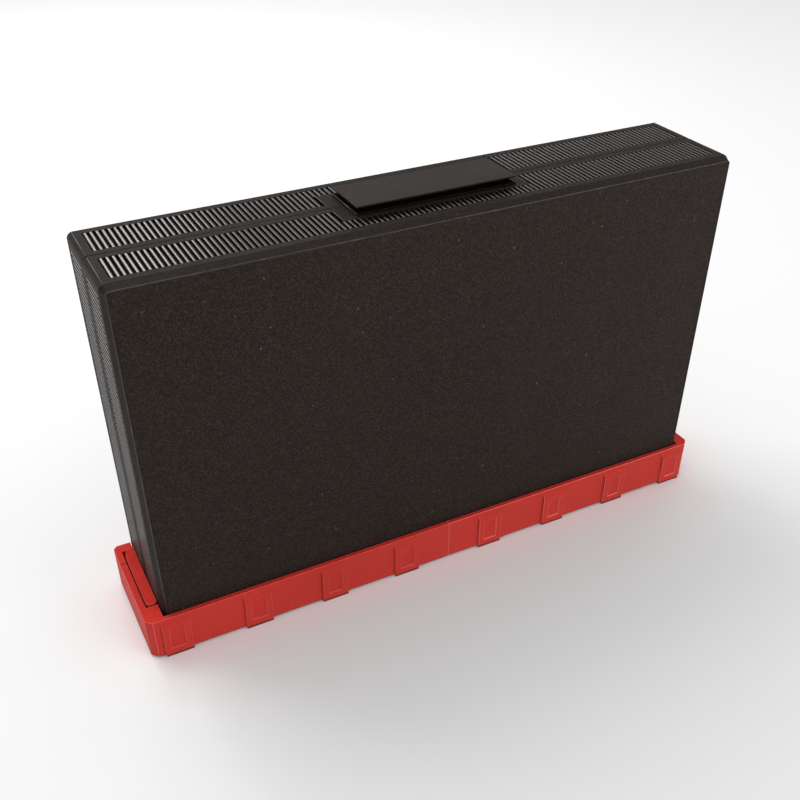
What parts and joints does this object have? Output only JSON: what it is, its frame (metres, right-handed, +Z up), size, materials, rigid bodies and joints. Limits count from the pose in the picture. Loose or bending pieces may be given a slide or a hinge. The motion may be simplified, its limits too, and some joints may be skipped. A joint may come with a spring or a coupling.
{
  "type": "miniature carry case",
  "caption": "Flat two-shell carry case for tabletop figures with a sliding lock, held upright on its long edge in a low tray with a sprung clamp arm.",
  "frame": {"origin": "centre of the tray's footprint, on the surface that it rests on", "axes": "+X along the case to the end without the clamp arm, +Z up, -Y out of the large front face"},
  "size_m": [0.2586, 0.0554, 0.1583],
  "materials": {
    "black_print": "matt 3-D printed plastic with fine layer lines",
    "red_print": "satin 3-D printed plastic with fine layer lines",
    "magnet": "bright nickel plate",
    "steel": "plain thin sheet steel",
    "foam": "closed-cell craft foam",
    "pin_steel": "plain drawn wire"
  },
  "bodies": {
    "tray": {"tray_left": "red_print", "tray_right": "red_print", "join_keys": "red_print", "arm_pin": "pin_steel"},
    "case_back": {"back_shell": "black_print", "back_magnets": "magnet", "seat_rack": "black_print", "steel_sheet": "steel"},
    "case_front": {"front_shell": "black_print", "front_magnets": "magnet", "foam_liner": "foam"},
    "lock": {"lock_slide": "black_print"},
    "arm": {"clamp_arm": "red_print"}
  },
  "joints": [
    {"name": "case_lift", "type": "slide", "parent": "tray", "child": "case_back", "axis": [0, 0, 1], "range_m": [0, 0.04]},
    {"name": "front_lift", "type": "slide", "parent": "case_back", "child": "case_front", "axis": [0, 0, 1], "range_m": [0, 0.16]},
    {"name": "lock_travel", "type": "slide", "parent": "case_front", "child": "lock", "axis": [1, 0, 0], "range_m": [-0.014, 0]},
    {"name": "arm_flex", "type": "hinge", "parent": "tray", "child": "arm", "pos_m": [-0.1248, 0.0145, 0.01], "axis": [0, 0, 1], "range_deg": [-1, 0], "stiffness_Nm_per_rad": 0.2, "springref_deg": 1.72}
  ]
}
